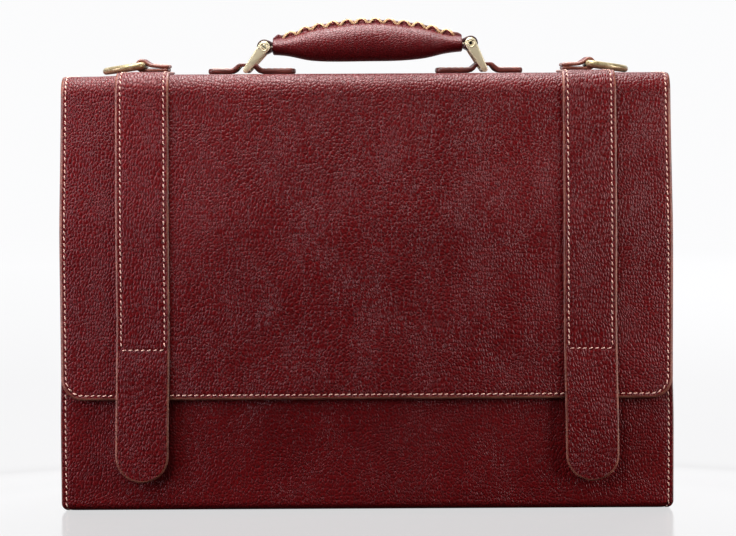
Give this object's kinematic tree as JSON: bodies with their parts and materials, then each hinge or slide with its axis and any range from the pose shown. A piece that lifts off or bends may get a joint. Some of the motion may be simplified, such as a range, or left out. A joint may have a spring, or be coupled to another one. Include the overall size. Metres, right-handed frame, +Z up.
{
  "type": "leather flap briefcase",
  "caption": "Flap briefcase in pebbled oxblood leather with two sewn straps, a laced handle on swinging stirrup rings and a dee ring at each end of the top.",
  "frame": {"origin": "centre of the underside of the base, on the surface the bag stands on", "axes": "+X to the right seen from the front flap, +Y to the back, +Z up"},
  "size_m": [0.402, 0.1006, 0.3261],
  "materials": {
    "oxblood_leather": "pebbled full-grain leather with a soft gloss and burnished tan edges",
    "dark_leather": "smooth dark brown leather",
    "lining_suede": "matt suede-like lining",
    "leather_board": "pressed leather board, matt",
    "felt_filler": "felt filler, hidden",
    "cream_thread": "waxed cream thread",
    "tan_lace": "flat tan leather lace",
    "antique_brass": "antique pale brass, brushed and worn",
    "snap_metal": "plated magnetic snap"
  },
  "bodies": {
    "case": {"front_panel": "oxblood_leather", "back_panel": "oxblood_leather", "left_gusset": "oxblood_leather", "right_gusset": "oxblood_leather", "base_board": "leather_board", "front_lining": "lining_suede", "back_lining": "lining_suede", "divider": "lining_suede", "inner_pocket": "oxblood_leather", "flap_rear": "oxblood_leather", "left_snap_socket": "snap_metal", "right_snap_socket": "snap_metal"},
    "flap_top": {"flap_top": "oxblood_leather", "flap_top_lining": "lining_suede", "handle_reinforcement": "leather_board", "left_strap_top": "oxblood_leather", "right_strap_top": "oxblood_leather", "left_chape": "oxblood_leather", "right_chape": "oxblood_leather", "left_dee_tab": "oxblood_leather", "right_dee_tab": "oxblood_leather"},
    "flap_front": {"flap_front": "oxblood_leather", "flap_front_lining": "lining_suede", "left_strap": "oxblood_leather", "right_strap": "oxblood_leather"},
    "left_tongue": {"left_tongue": "oxblood_leather", "left_snap_stud": "snap_metal"},
    "right_tongue": {"right_tongue": "oxblood_leather", "right_snap_stud": "snap_metal"},
    "left_ring": {"left_handle_ring": "antique_brass", "left_ring_pin": "antique_brass"},
    "handle": {"grip_cover": "oxblood_leather", "grip_core": "felt_filler", "handle_strap": "dark_leather", "grip_lacing": "tan_lace"},
    "right_ring": {"right_handle_ring": "antique_brass", "right_ring_pin": "antique_brass"},
    "left_dee": {"left_dee_ring": "antique_brass"},
    "right_dee": {"right_dee_ring": "antique_brass"}
  },
  "joints": [
    {"name": "flap_top_fold", "type": "hinge", "parent": "case", "child": "flap_top", "pos_m": [0, 0.04591, 0.28441], "axis": [-1, 0, 0], "range_deg": [0, 175]},
    {"name": "flap_front_fold", "type": "hinge", "parent": "flap_top", "child": "flap_front", "pos_m": [0, -0.039, 0.28553], "axis": [-1, 0, 0], "range_deg": [0, 100]},
    {"name": "left_tongue_fold", "type": "hinge", "parent": "flap_front", "child": "left_tongue", "pos_m": [-0.1466, -0.0517, 0.10535], "axis": [-1, 0, 0], "range_deg": [0, 70]},
    {"name": "right_tongue_fold", "type": "hinge", "parent": "flap_front", "child": "right_tongue", "pos_m": [0.1466, -0.0517, 0.10535], "axis": [-1, 0, 0], "range_deg": [0, 70]},
    {"name": "handle_sway", "type": "hinge", "parent": "flap_top", "child": "left_ring", "pos_m": [-0.0792, 0.002, 0.2902], "axis": [0, 1, 0], "range_deg": [-25, 15]},
    {"name": "grip_hinge", "type": "hinge", "parent": "left_ring", "child": "handle", "pos_m": [-0.06717, 0.002, 0.30555], "axis": [0, 1, 0], "range_deg": [-18, 30]},
    {"name": "right_ring_hinge", "type": "hinge", "parent": "handle", "child": "right_ring", "pos_m": [0.07002, 0.002, 0.3074], "axis": [0, 1, 0], "range_deg": [-30, 18]},
    {"name": "left_dee_hinge", "type": "hinge", "parent": "flap_top", "child": "left_dee", "pos_m": [-0.149, 0.002, 0.29348], "axis": [0, 1, 0], "range_deg": [0, 150]},
    {"name": "right_dee_hinge", "type": "hinge", "parent": "flap_top", "child": "right_dee", "pos_m": [0.149, 0.002, 0.29348], "axis": [0, -1, 0], "range_deg": [0, 150]}
  ],
  "couplings": [
    {"joint": "grip_hinge", "follows": "handle_sway", "ratio": -1.153},
    {"joint": "right_ring_hinge", "follows": "handle_sway", "ratio": 1.153}
  ]
}
